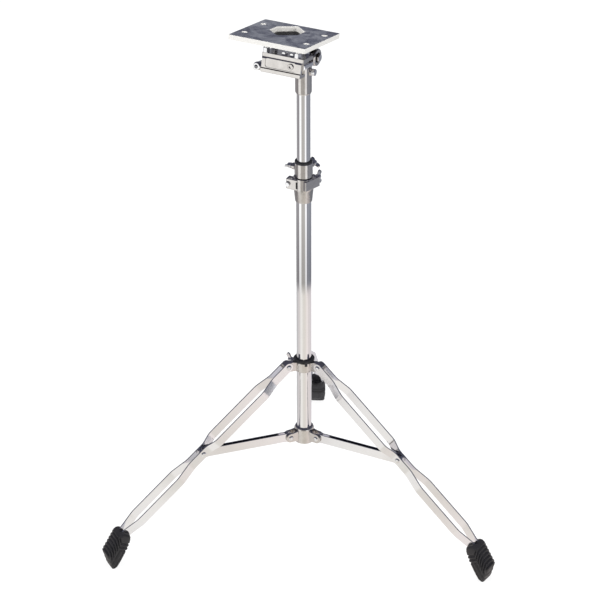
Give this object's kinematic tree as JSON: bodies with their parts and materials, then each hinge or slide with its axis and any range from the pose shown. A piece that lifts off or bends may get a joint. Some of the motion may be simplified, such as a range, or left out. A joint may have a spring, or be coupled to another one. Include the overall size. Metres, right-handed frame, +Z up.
{
  "type": "tripod stand with tilting mounting plate",
  "caption": "Chromed double-braced tripod stand with telescoping column, ratchet tilter and a square mounting plate for a practice pad.",
  "frame": {"origin": "on the floor under the centre of the footprint; the column stands 76.1 mm towards -X and 28.3 mm towards -Y of it", "axes": "+Z up along the column, X along the hinge of the tilting plate, -Y the side on which the plate overhangs"},
  "size_m": [0.7084, 0.7561, 1.0629],
  "materials": {
    "chromed_tube": "mirror chrome over seamless steel tube",
    "chromed_strip": "bright chrome on rolled steel strip",
    "plated_casting": "bright plating on a slightly soft cast surface",
    "plated_hardware": "bright plated screws, rivets and wing bolts",
    "plate_metal": "milled plate with fine scratches, bright edges",
    "black_nylon": "moulded nylon, slightly glossy",
    "black_rubber": "matte moulded rubber"
  },
  "bodies": {
    "column": {"base_tube": "chromed_tube", "base_plug": "black_nylon", "brace_collar": "plated_casting", "brace_pins": "plated_hardware", "tube_clamp": "plated_casting", "clamp_bushing": "black_nylon", "clamp_hinge_bolt": "plated_hardware"},
    "clamp_screw": {"clamp_wing_bolt": "plated_hardware"},
    "leg_collar": {"leg_collar": "plated_casting", "leg_collar_bushing": "black_nylon", "leg_pins": "plated_hardware"},
    "leg_collar_screw": {"leg_collar_wing_bolt": "plated_hardware"},
    "memory_lock": {"memory_lock": "plated_casting", "memory_lock_liner": "black_nylon"},
    "lock_screw": {"memory_lock_wing_bolt": "plated_hardware"},
    "lock_side_screw": {"memory_lock_side_screw": "plated_hardware"},
    "upper_column": {"upper_tube": "chromed_tube", "upper_plug": "black_nylon", "tilter_socket": "plated_casting", "fixed_ratchet": "plated_casting", "tilter_bolt": "plated_hardware"},
    "socket_screw": {"socket_screw": "plated_hardware"},
    "tilter_nut": {"tilter_wing_nut": "plated_hardware"},
    "head": {"moving_ratchet": "plated_casting", "tilter_arm": "plated_casting", "bracket_body": "plated_casting", "bracket_slab": "plated_casting", "bracket_pin": "plated_hardware", "bracket_bolts": "plated_hardware", "plate_standoffs": "plated_hardware", "plate_studs": "plated_hardware", "plate_backing": "black_nylon", "backing_screws": "plated_hardware", "mounting_plate": "plate_metal"},
    "leg_1": {"leg_1_strip_a": "chromed_strip", "leg_1_strip_b": "chromed_strip", "leg_1_rivets": "plated_hardware", "leg_1_foot": "black_rubber"},
    "brace_1": {"brace_1": "chromed_strip", "brace_1_pin": "plated_hardware"},
    "leg_2": {"leg_2_strip_a": "chromed_strip", "leg_2_strip_b": "chromed_strip", "leg_2_rivets": "plated_hardware", "leg_2_foot": "black_rubber"},
    "brace_2": {"brace_2": "chromed_strip", "brace_2_pin": "plated_hardware"},
    "leg_3": {"leg_3_strip_a": "chromed_strip", "leg_3_strip_b": "chromed_strip", "leg_3_rivets": "plated_hardware", "leg_3_foot": "black_rubber"},
    "brace_3": {"brace_3": "chromed_strip", "brace_3_pin": "plated_hardware"}
  },
  "joints": [
    {"name": "leg_fold", "type": "slide", "parent": "column", "child": "leg_collar", "axis": [0, 0, 1], "range_m": [0, 0.2595]},
    {"name": "leg_1_hinge", "type": "hinge", "parent": "leg_collar", "child": "leg_1", "pos_m": [-0.04045, -0.03331, 0.3455], "axis": [0.1392, 0.9903, 0], "range_deg": [-0.05, 48.71]},
    {"name": "brace_1_hinge", "type": "hinge", "parent": "column", "child": "brace_1", "pos_m": [-0.04392, -0.03282, 0.184], "axis": [-0.1392, -0.9903, 0], "range_deg": [-0.05, 80.22]},
    {"name": "leg_2_hinge", "type": "hinge", "parent": "leg_collar", "child": "leg_2", "pos_m": [-0.08959, 0.00508, 0.3455], "axis": [-0.9272, -0.3746, 0], "range_deg": [-0.05, 48.71]},
    {"name": "brace_2_hinge", "type": "hinge", "parent": "column", "child": "brace_2", "pos_m": [-0.08828, 0.00183, 0.184], "axis": [0.9272, 0.3746, 0], "range_deg": [-0.05, 80.22]},
    {"name": "leg_3_hinge", "type": "hinge", "parent": "leg_collar", "child": "leg_3", "pos_m": [-0.09826, -0.05667, 0.3455], "axis": [0.788, -0.6157, 0], "range_deg": [-0.05, 48.71]},
    {"name": "brace_3_hinge", "type": "hinge", "parent": "column", "child": "brace_3", "pos_m": [-0.09611, -0.05391, 0.184], "axis": [-0.788, 0.6157, 0], "range_deg": [-0.05, 80.22]},
    {"name": "leg_collar_screw_turn", "type": "hinge", "parent": "leg_collar", "child": "leg_collar_screw", "pos_m": [-0.10086, -0.02482, 0.341], "axis": [-0.9903, 0.1392, 0], "continuous": true},
    {"name": "clamp_screw_turn", "type": "hinge", "parent": "column", "child": "clamp_screw", "pos_m": [-0.06156, -0.00206, 0.7365], "axis": [0.4848, 0.8746, 0], "continuous": true},
    {"name": "column_turn", "type": "hinge", "parent": "column", "child": "memory_lock", "pos_m": [-0.0761, -0.0283, 0.764], "axis": [0, 0, 1], "continuous": true},
    {"name": "lock_screw_turn", "type": "hinge", "parent": "memory_lock", "child": "lock_screw", "pos_m": [-0.06921, -0.00427, 0.764], "axis": [0.2756, 0.9613, 0], "continuous": true},
    {"name": "lock_side_screw_turn", "type": "hinge", "parent": "memory_lock", "child": "lock_side_screw", "pos_m": [-0.1011, -0.0283, 0.764], "axis": [-1, 0, 0], "continuous": true},
    {"name": "height", "type": "slide", "parent": "memory_lock", "child": "upper_column", "axis": [0, 0, 1], "range_m": [-0.13, 0.2]},
    {"name": "socket_screw_turn", "type": "hinge", "parent": "upper_column", "child": "socket_screw", "pos_m": [-0.0561, -0.0283, 0.962], "axis": [1, 0, 0], "continuous": true},
    {"name": "tilter_nut_turn", "type": "hinge", "parent": "upper_column", "child": "tilter_nut", "pos_m": [-0.0921, -0.0283, 0.993], "axis": [-1, 0, 0], "continuous": true},
    {"name": "tilt", "type": "hinge", "parent": "upper_column", "child": "head", "pos_m": [-0.0521, -0.0283, 0.993], "axis": [1, 0, 0], "range_deg": [-49, 29]}
  ],
  "couplings": [
    {"joint": "leg_1_hinge", "follows": "leg_fold", "rad_per_m": 3.2727},
    {"joint": "brace_1_hinge", "follows": "leg_fold", "rad_per_m": 5.3918},
    {"joint": "leg_2_hinge", "follows": "leg_fold", "rad_per_m": 3.2727},
    {"joint": "brace_2_hinge", "follows": "leg_fold", "rad_per_m": 5.3918},
    {"joint": "leg_3_hinge", "follows": "leg_fold", "rad_per_m": 3.2727},
    {"joint": "brace_3_hinge", "follows": "leg_fold", "rad_per_m": 5.3918}
  ]
}
